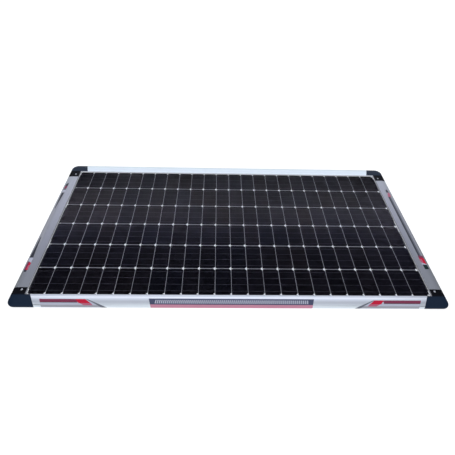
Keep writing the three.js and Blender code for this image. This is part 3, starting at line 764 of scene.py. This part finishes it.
def corner_screw(name, cap, sx, sy, replaced):
    """A domed screw with a cross slot, seated in its cap's recess."""
    seat = RECESS_FLOOR + 0.25
    head = [(0.0, 3.5), (SHANK_R, 5.0), (SHANK_R, seat), (HEAD_R - 0.2, seat), (HEAD_R, seat + 0.2),
            (HEAD_R, seat + HEAD_RIM)]
    for angle in (15, 30, 45, 60, 75):
        a = math.radians(angle)
        head.append((HEAD_R * math.cos(a), seat + HEAD_RIM + HEAD_CROWN * math.sin(a)))
    head.append((0.0, seat + HEAD_RIM + HEAD_CROWN))
    bm = lathe(head, 40)
    w, h = SLOT_HALF
    for turn in (SLOT_TURN, SLOT_TURN + 90):
        slot = prism(rectangle(-w, w, -h, h), seat + SLOT_LOW, seat + 4)
        spin = Matrix.Rotation(math.radians(turn), 3, "Z")
        bmesh.ops.rotate(slot, verts=slot.verts, cent=(0, 0, 0), matrix=spin)
        bm = boolean(bm, slot, "DIFFERENCE")
    x, y = sx * (lip_x + SCREW_OUT), sy * (lip_y - cap["screw"])
    bmesh.ops.translate(bm, verts=bm.verts, vec=(x, y, 0))
    return add_piece(name, bm, replaced, [screw_steel], 35.0)


for corner, cap, sx, sy in (("front_left", FRONT_CAP, -1, -1), ("front_right", FRONT_CAP, 1, -1),
                            ("rear_left", REAR_CAP, -1, 1), ("rear_right", REAR_CAP, 1, 1)):
    corner_cap(f"{corner}_cap_moulding", cap, sx, sy, f"{corner}_corner_cap")
    corner_screw(f"{corner}_screw_head", cap, sx, sy, f"{corner}_corner_screw")

# ---------------------------------------------------------------- cells and tabs

CELL_TOP = 13.45
CELL_BOTTOM = 13.27
TAB_W = 1.2
TAB_THICK = 0.08
TAB_SHARES = (0.125, 0.375, 0.625, 0.875)


def merge(target, part):
    """Adds part to target; part is used up."""
    mesh = bpy.data.meshes.new("work")
    part.to_mesh(mesh)
    part.free()
    target.from_mesh(mesh)
    bpy.data.meshes.remove(mesh)


def tab(x0, x1, y, dips):
    """A flat wire over one cell, which dips through the gap and under the next cell."""
    line = [(x0, CELL_TOP), (x1 - 0.5, CELL_TOP)]
    if dips:
        line += [(x1 + COLUMN_GAP / 2, (CELL_TOP + CELL_BOTTOM) / 2 - 0.02)]
    points = line + [(x, z + TAB_THICK) for x, z in reversed(line)]
    bm = bmesh.new()
    near = [bm.verts.new((x, y - TAB_W / 2, z)) for x, z in points]
    far = [bm.verts.new((x, y + TAB_W / 2, z)) for x, z in points]
    bm.faces.new(near)
    bm.faces.new(far[::-1])
    for i in range(len(points)):
        j = (i + 1) % len(points)
        bm.faces.new((near[j], near[i], far[i], far[j]))
    bmesh.ops.recalc_face_normals(bm, faces=bm.faces)
    return bm


def cell_row(row):
    """One row of half-cut cells, each with two cut corners, and its tabs."""
    node = f"cell_string_{row}"
    low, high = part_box(node)
    first = (low.x + high.x) / 2 / MM - (COLUMNS * CELL_X + (COLUMNS - 1) * COLUMN_GAP) / 2
    y0, y1 = low.y / MM, high.y / MM
    cells = bmesh.new()
    tabs = bmesh.new()
    for column in range(COLUMNS):
        x0 = first + column * (CELL_X + COLUMN_GAP)
        x1 = x0 + CELL_X
        c = CELL_CHAMFER
        outline = [(x0, y0), (x1 - c, y0), (x1, y0 + c), (x1, y1 - c), (x1 - c, y1), (x0, y1)]
        merge(cells, prism(outline, CELL_BOTTOM, CELL_TOP))
        for share in TAB_SHARES:
            merge(tabs, tab(x0 + 1.5, x1, y0 + share * CELL_Y, column < COLUMNS - 1))
    add_piece(f"cells_row_{row}", cells, node, [cell_black])
    add_piece(f"tabs_row_{row}", tabs, node, [tab_tin])


for row in range(1, ROWS + 1):
    cell_row(row)

# ---------------------------------------------------------------- glass

PANE_EASE = 0.4


def glass_pane():
    """The pane, with eased edges; only its top is coated, and it casts no shadow."""
    low, high = (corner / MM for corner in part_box("front_glass"))
    bm = prism(rectangle(low.x, high.x, low.y, high.y), low.z, high.z)
    bmesh.ops.bevel(bm, geom=bm.edges[:], offset=PANE_EASE, segments=2, affect="EDGES", profile=0.5)
    bm.normal_update()
    for face in bm.faces:
        face.material_index = 0 if face.normal.z > 0.9 else 1
    piece = add_piece("glass_pane", bm, "front_glass", [glass, clear], 20.0)
    piece.visible_shadow = False
    return piece


glass_pane()

# ---------------------------------------------------------------- printed bands

BAND_INKS = [
    printed("band_pale", (0.56, 0.57, 0.65)), printed("band_maroon", (0.25, 0.040, 0.085)),
    printed("band_red", (0.66, 0.006, 0.040)), printed("band_rose", (0.66, 0.28, 0.37)),
    printed("band_pink", (0.55, 0.15, 0.22)), printed("band_dark", (0.045, 0.048, 0.06)),
    printed("band_grey", (0.17, 0.18, 0.21)), printed("band_slate", (0.075, 0.085, 0.15)),
    printed("band_green", (0.008, 0.028, 0.024)), printed("band_plain", (0.40, 0.40, 0.43)),
]
PALE, MAROON, RED, ROSE, PINK, DARK, GREY, SLATE, GREEN, PLAIN = range(len(BAND_INKS))

# Where each band lies: the shares of the slope's curve that it spans, and its ends along the rail,
# in millimetres, as (start at the top, start at the foot, end at the top, end at the foot).
END_SPAN = (0.27, 1.0)
CENTRE_SPAN = (0.22, 1.0)
LEFT_SPAN = (0.42, 0.74)
RIGHT_SPAN = (0.29, 0.64)
FRONT_LEFT_ENDS = (-897, -875, -676, -576)
FRONT_CENTRE_ENDS = (-391, -376, 391, 376)
FRONT_RIGHT_ENDS = (676, 576, 907, 882)
LEFT_ENDS = (-354, -354, 362, 345)
RIGHT_ENDS = (-322, -318, 335, 335)
BAND_LIFT = 0.15
BAND_THICK = 0.2
# While a band is cut up flat, its width is this many units, so that cuts stay well conditioned.
FLAT_WIDTH = 100.0


def band_track(span):
    """Stations down the band: (share of its width, point on the slope, outward normal)."""
    line = slope_points(*span, 24)
    lengths = [0.0]
    for a, b in zip(line, line[1:]):
        lengths.append(lengths[-1] + math.dist(a, b))
    track = []
    for i, point in enumerate(line):
        a, b = line[max(0, i - 1)], line[min(len(line) - 1, i + 1)]
        dx, dz = b[0] - a[0], b[1] - a[1]
        size = math.hypot(dx, dz)
        track.append((lengths[i] / lengths[-1], point, (-dz / size, dx / size)))
    return track


def inside(point, outline):
    """Whether a point lies in a convex outline."""
    sign = 0
    for (x0, y0), (x1, y1) in zip(outline, outline[1:] + outline[:1]):
        cross = (x1 - x0) * (point[1] - y0) - (y1 - y0) * (point[0] - x0)
        if abs(cross) < 1e-9:
            continue
        if sign and (cross > 0) != (sign > 0):
            return False
        sign = cross
    return True


def band(name, outward, span, ends, shapes, ground, replaced):
    """A band printed with shapes, each (ink, outline) in (along, share down the band). Outlines
    are convex, and later ones lie over earlier ones. The band is cut along all their edges while
    it is flat, inked face by face, and then laid on the slope."""
    start_top, start_foot, end_top, end_foot = ends
    track = band_track(span)
    bm = bmesh.new()
    corners = [(start_top, 0), (end_top, 0), (end_foot, 1), (start_foot, 1)]
    bm.faces.new([bm.verts.new((a, s * FLAT_WIDTH, 0)) for a, s in corners])
    lines = []
    for _, outline in shapes:
        lines += zip(outline, outline[1:] + outline[:1])
    for share, _, _ in track[1:-1]:
        lines.append(((start_top, share), (end_top, share)))
    for (a0, s0), (a1, s1) in lines:
        normal = Vector((-(s1 - s0) * FLAT_WIDTH, a1 - a0, 0))
        if normal.length < 1e-6:
            continue
        bmesh.ops.bisect_plane(bm, geom=bm.verts[:] + bm.edges[:] + bm.faces[:], dist=1e-4,
                               plane_co=(a0, s0 * FLAT_WIDTH, 0), plane_no=normal)
    for face in bm.faces:
        middle = face.calc_center_median()
        face.material_index = ground
        for ink, outline in shapes:
            if inside((middle.x, middle.y / FLAT_WIDTH), outline):
                face.material_index = ink

    def lifted(vert, lift):
        share = min(max(vert.co.y / FLAT_WIDTH, 0.0), 1.0)
        for (s0, p0, n0), (s1, p1, n1) in zip(track, track[1:]):
            if share <= s1 + 1e-9:
                break
        f = (share - s0) / (s1 - s0)
        normal = Vector(n0).lerp(Vector(n1), f).normalized()
        u, h = Vector(p0).lerp(Vector(p1), f) + normal * lift
        if outward[0] == 0:
            return (vert.co.x, outward[1] * (lip_y + u), h)
        return (outward[0] * (lip_x + u), vert.co.x, h)

    out = bmesh.new()
    under = {v: out.verts.new(lifted(v, BAND_LIFT)) for v in bm.verts}
    over = {v: out.verts.new(lifted(v, BAND_LIFT + BAND_THICK)) for v in bm.verts}
    for face in bm.faces:
        out.faces.new([over[v] for v in face.verts]).material_index = face.material_index
        out.faces.new([under[v] for v in reversed(face.verts)]).material_index = ground
    for edge in bm.edges:
        if edge.is_boundary:
            a, b = edge.verts
            side = out.faces.new((over[a], under[a], under[b], over[b]))
            side.material_index = edge.link_faces[0].material_index
    bm.free()
    bmesh.ops.recalc_face_normals(out, faces=out.faces)
    return add_piece(name, out, replaced, BAND_INKS, 30.0)


def wedge(side, outer, inner, chevron):
    """The printing of a front end band: a maroon bar with a blank strip under it, a red chevron
    with its pink tail, and a slanted grey line. Side is -1 for left and 1 for right; outer and
    inner bound the bar, and chevron is where the red begins."""
    shapes = [
        (MAROON, rectangle(outer, inner, 0.0, 0.43)),
        (DARK, rectangle(outer, inner, 0.38, 0.44)),
        (PLAIN, rectangle(outer, 590, 0.72, 0.94)),
        (PINK, [(chevron - 6, 0.44), (chevron - 58, 0.44),
                (chevron - 74, 0.76), (chevron - 32, 0.76)]),
        (RED, [(chevron + 14, 0.0), (chevron - 31, 0.0),
               (chevron - 60, 0.50), (chevron - 6, 0.50)]),
        (GREY, [(682, 0.0), (672, 0.0), (575, 1.0), (600, 1.0)]),
    ]
    return [(ink, [(side * a, s) for a, s in outline]) for ink, outline in shapes]


HATCH_PITCH = 9.4
HATCH_COUNT = 77


def hatching():
    """Slanted strokes along the middle of the centre band, in place of lettering."""
    strokes = []
    for k in range(HATCH_COUNT):
        a = (k - (HATCH_COUNT - 1) / 2) * HATCH_PITCH
        strokes.append((PALE, [(a - 0.8, 0.15), (a + 4.6, 0.15), (a + 2.0, 0.55), (a - 3.4, 0.55)]))
    return strokes


front_left_print = wedge(-1, 900, 716, 716)
front_right_print = wedge(1, 910, 722, 713)
centre_print = [(ROSE, rectangle(-395, 395, 0.66, 1.0)), *hatching()]
left_print = [
    (DARK, [(362, 0.1), (330, 0.0), (330, 0.8), (348, 0.8)]),
    (MAROON, rectangle(330, 304, 0.05, 0.8)),
    (GREY, rectangle(304, 290, 0.1, 0.8)),
    (PALE, rectangle(290, 272, 0.0, 0.9)),
    (DARK, [(262, 0.12), (118, 0.55), (118, 0.70), (262, 0.80)]),
    (DARK, [(-112, 0.55), (-112, 0.70), (-262, 0.95), (-262, 0.08)]),
    (PALE, [(-262, 0.0), (-295, 0.0), (-282, 1.0), (-262, 1.0)]),
    (RED, [(-297, 0.0), (-342, 0.0), (-342, 0.9), (-286, 0.9)]),
    (MAROON, [(-290, 0.4), (-310, 0.45), (-342, 0.6), (-342, 0.9), (-286, 0.9)]),
    (PINK, [(-312, 0.0), (-336, 0.0), (-336, 0.35), (-312, 0.35)]),
    (DARK, [(-342, 0.15), (-354, 0.15), (-354, 0.85), (-342, 0.85)]),
]
right_print = [
    (DARK, [(335, 0.30), (306, 0.15), (306, 0.80), (335, 0.60)]),
    (PINK, [(306, 0.45), (262, 0.05), (262, 0.80), (300, 0.90)]),
    (DARK, rectangle(262, -240, 0.08, 0.42)),
    (GREY, rectangle(262, -240, 0.42, 0.72)),
    (MAROON, rectangle(-228, -244, 0.0, 1.0)),
    (RED, [(-244, 0.0), (-274, 0.0), (-286, 1.0), (-244, 1.0)]),
    (PINK, [(-250, 0.05), (-274, 0.0), (-276, 0.45), (-254, 0.45)]),
    (PALE, [(-276, 0.0), (-289, 0.0), (-289, 1.0), (-286, 1.0)]),
    (GREEN, rectangle(-290, -320, 0.1, 0.95)),
]
band("front_left_print", (0, -1), END_SPAN, FRONT_LEFT_ENDS, front_left_print, PALE,
     "front_left_band")
band("front_centre_print", (0, -1), CENTRE_SPAN, FRONT_CENTRE_ENDS, centre_print, SLATE,
     "front_centre_band")
band("front_right_print", (0, -1), END_SPAN, FRONT_RIGHT_ENDS, front_right_print, PALE,
     "front_right_band")
band("left_side_print", (-1, 0), LEFT_SPAN, LEFT_ENDS, left_print, PLAIN, "left_side_band")
band("right_side_print", (1, 0), RIGHT_SPAN, RIGHT_ENDS, right_print, PLAIN, "right_side_band")

# ---------------------------------------------------------------- junction box lid

LID_CORNER = 1.5
LID_RIM = 0.9
LID_EASE = 0.3
LID_FACE = 0.6
PAD_INSET = 9.0
PAD_CORNER = 4.0
PAD_SLOPE = 0.4
RIB_COUNT = 4
RIB_PITCH = 8.0
RIB_HALF = (1.2, 22.0)
RIB_H = 1.2


def box_lid():
    """The snap lid, seen from underneath: an eased rim, a raised pad and four grip ribs."""
    low, high = (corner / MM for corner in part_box("junction_box_lid"))
    middle_x, middle_y = (low.x + high.x) / 2, (low.y + high.y) / 2

    def ring(inset, z, radius):
        half_x, half_y = (high.x - low.x) / 2 - inset, (high.y - low.y) / 2 - inset
        points = []
        for turn, (sx, sy) in enumerate(((1, 1), (-1, 1), (-1, -1), (1, -1))):
            centre = (middle_x + sx * (half_x - radius), middle_y + sy * (half_y - radius))
            points += [(x, y, z) for x, y in arc(*centre, radius, 90 * turn, 90 * turn + 90, 5)]
        return points

    bm = bmesh.new()
    loft(bm, [
        ring(0.0, high.z, LID_CORNER), ring(0.0, low.z + LID_RIM, LID_CORNER),
        ring(LID_EASE, low.z + LID_FACE, LID_CORNER), ring(PAD_INSET, low.z + LID_FACE, PAD_CORNER),
        ring(PAD_INSET + PAD_SLOPE, low.z + LID_FACE / 2, PAD_CORNER),
    ])
    w, h = RIB_HALF
    for k in range(RIB_COUNT):
        x = middle_x + (k - (RIB_COUNT - 1) / 2) * RIB_PITCH
        outline = rectangle(x - w, x + w, middle_y - h, middle_y + h)
        bm = boolean(bm, prism(outline, low.z, low.z + RIB_H), "UNION")
    return add_piece("box_lid", bm, "junction_box_lid", [box_black], 35.0)


box_lid()

# ---------------------------------------------------------------- CAD nodes that stay

looks_by_name = {
    "front_encapsulant": clear, "rear_encapsulant": white_eva,
    "backsheet": backsheet, "rating_label": label_film,
    "junction_box_bond": seal_grey, "junction_box_seal": seal_grey,
    "junction_box_base": box_black,
}
looks_by_prefix = {
    "left_bus_ribbon": ribbon_tin, "right_bus_ribbon": ribbon_tin, "ribbon_terminal": brass,
    "bypass_diode": diode_black, "cable_gland": box_black, "gland_nut": box_black,
}


def look_for(name):
    """The material of a CAD node that stays, or None where a piece replaces it."""
    # The rear gasket takes the lighter copy of the rubber and the others the darker one: painted light
    # and shade.
    if name.endswith("_gasket"):
        return gasket_painted_light if name.startswith("rear") else gasket_painted_shade
    if name.endswith("_corner_key"):
        return key_metal
    for prefix, look in looks_by_prefix.items():
        if name.startswith(prefix):
            return look
    return looks_by_name.get(name)


for name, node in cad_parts.items():
    look = look_for(name)
    if look:
        node.data.materials.clear()
        node.data.materials.append(look)
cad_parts["front_encapsulant"].visible_shadow = False

# ---------------------------------------------------------------- floor, light and camera

FLOOR_HALF = 30.0
FLOOR_DROP = 0.0002
FLOOR_GLOW = 0.86


def studio_floor():
    """A pale floor, which glows a little so that it stays nearly white under the soft light."""
    mesh = bpy.data.meshes.new("studio_floor")
    corners = rectangle(-FLOOR_HALF, FLOOR_HALF, -FLOOR_HALF, FLOOR_HALF)
    mesh.from_pydata([(x, y, 0) for x, y in corners], [], [(0, 1, 2, 3)])
    n = material_nodes("studio_floor")
    tone = n.mix(n.noise(n.place(), 0.4), (0.34, 0.34, 0.34, 1), (0.37, 0.37, 0.37, 1))
    mesh.materials.append(n.principled(
        Base_Color=tone, Roughness=0.9, Specular_IOR_Level=0.0,
        Emission_Color=(1, 1, 1, 1), Emission_Strength=FLOOR_GLOW,
    ))
    floor = bpy.data.objects.new("studio_floor", mesh)
    floor.location = (0, 0, -FLOOR_DROP)
    bpy.context.scene.collection.objects.link(floor)


# The surround's colours by height, from the horizon (0) to overhead (1), behind the panel and in
# front of it. Behind, a pale wall ends in a bright strip about 43 degrees up, with a dark gap over
# it, and each row of cells reflects its own part of them.
WORLD_BEHIND = (
    (0.0, (0.92, 0.99, 1.10)), (0.30, (1.00, 1.07, 1.18)), (0.52, (1.08, 1.14, 1.26)),
    (0.585, (1.04, 1.07, 1.20)), (0.609, (1.00, 1.00, 1.22)), (0.643, (1.48, 1.48, 1.70)),
    (0.678, (2.30, 2.15, 2.65)), (0.694, (2.00, 1.88, 2.40)), (0.712, (0.60, 0.64, 1.15)),
    (0.735, (0.50, 0.50, 0.80)), (0.755, (0.42, 0.41, 0.56)), (0.785, (0.20, 0.20, 0.34)),
    (0.82, (0.21, 0.21, 0.32)), (0.86, (0.85, 0.88, 0.95)), (0.90, (1.15, 1.18, 1.25)),
    (1.0, (0.60, 0.64, 0.70)),
)
WORLD_BEFORE = (
    (0.0, (0.80, 0.85, 0.92)), (0.3, (0.78, 0.83, 0.90)), (0.6, (0.70, 0.75, 0.82)),
    (0.90, (0.60, 0.64, 0.70)), (1.0, (0.60, 0.64, 0.70)),
)
WORLD_SIDE = (0.06, 0.065, 0.08, 1)
SIDE_FADE = (0.48, 0.62)
TURN_FADE = 0.15


def studio_world():
    """A soft surround: bright overhead, behind and in front, and dim behind to the left and right.
    The camera itself sees plain white."""
    world = bpy.data.worlds.new("studio")
    bpy.context.scene.world = world
    n = Nodes(world, "ShaderNodeOutputWorld")
    to = n.axes(n.add("ShaderNodeTexCoord").outputs["Generated"])
    flat = n.math("SQRT", n.math("ADD", n.math("POWER", to["Y"], 2.0), n.math("POWER", to["Z"], 2.0)))
    rise = n.math("DIVIDE", to["Z"], n.math("MAXIMUM", flat, 0.001))
    depth = n.range(to["Y"], -TURN_FADE, TURN_FADE)
    ahead = n.mix(depth, n.ramp(rise, WORLD_BEFORE), n.ramp(rise, WORLD_BEHIND))
    aside = n.math("MULTIPLY", n.range(n.math("ABSOLUTE", to["X"]), *SIDE_FADE), depth)
    seen = n.add("ShaderNodeLightPath").outputs["Is Camera Ray"]
    shown = n.mix(seen, n.mix(aside, ahead, WORLD_SIDE), (1, 1, 1, 1))
    n.surface(n.add("ShaderNodeBackground", {"Color": shown, "Strength": 1.0}).outputs[0])


SOFT_BOX_AT = (-0.1, -1.3, 2.6)
SOFT_BOX_TARGET = (-0.1, 0, 0)
SOFT_BOX_SIZE = (7.0, 2.2)
SOFT_BOX_POWER = 18.0


def area_light(name, place, target, size, power):
    """A rectangular lamp that faces its target and that the camera doesn't see."""
    light = bpy.data.lights.new(name, "AREA")
    light.shape = "RECTANGLE"
    light.size, light.size_y = size
    light.energy = power
    lamp = bpy.data.objects.new(name, light)
    lamp.location = place
    lamp.rotation_euler = (Vector(target) - Vector(place)).to_track_quat("-Z", "Y").to_euler()
    lamp.visible_camera = False
    bpy.context.scene.collection.objects.link(lamp)


CAMERA_AT = (-0.0745, -1.5039, 1.4743)
CAMERA_TURN = math.radians(2.335)
CAMERA_DOWN = math.radians(44.55)
CAMERA_ROLL = math.radians(2.238)
LENS = 28.964


def place_camera():
    """The camera: turned to the right, tipped down, and rolled about its own line of sight."""
    forward = Vector((math.sin(CAMERA_TURN) * math.cos(CAMERA_DOWN),
                      math.cos(CAMERA_TURN) * math.cos(CAMERA_DOWN), -math.sin(CAMERA_DOWN)))
    level = Vector((math.cos(CAMERA_TURN), -math.sin(CAMERA_TURN), 0))
    upward = level.cross(forward)
    c, s = math.cos(CAMERA_ROLL), math.sin(CAMERA_ROLL)
    right = level * c + upward * s
    up = upward * c - level * s
    camera = bpy.data.objects.new("camera", bpy.data.cameras.new("camera"))
    camera.data.lens = LENS
    camera.data.sensor_width = 36.0
    camera.data.clip_end = 100.0
    matrix = Matrix((right, up, -forward)).transposed().to_4x4()
    matrix.translation = CAMERA_AT
    camera.matrix_world = matrix
    bpy.context.scene.collection.objects.link(camera)
    bpy.context.scene.camera = camera


studio_floor()
studio_world()
area_light("soft_box", SOFT_BOX_AT, SOFT_BOX_TARGET, SOFT_BOX_SIZE, SOFT_BOX_POWER)
place_camera()
bpy.context.scene.view_settings.view_transform = "Standard"
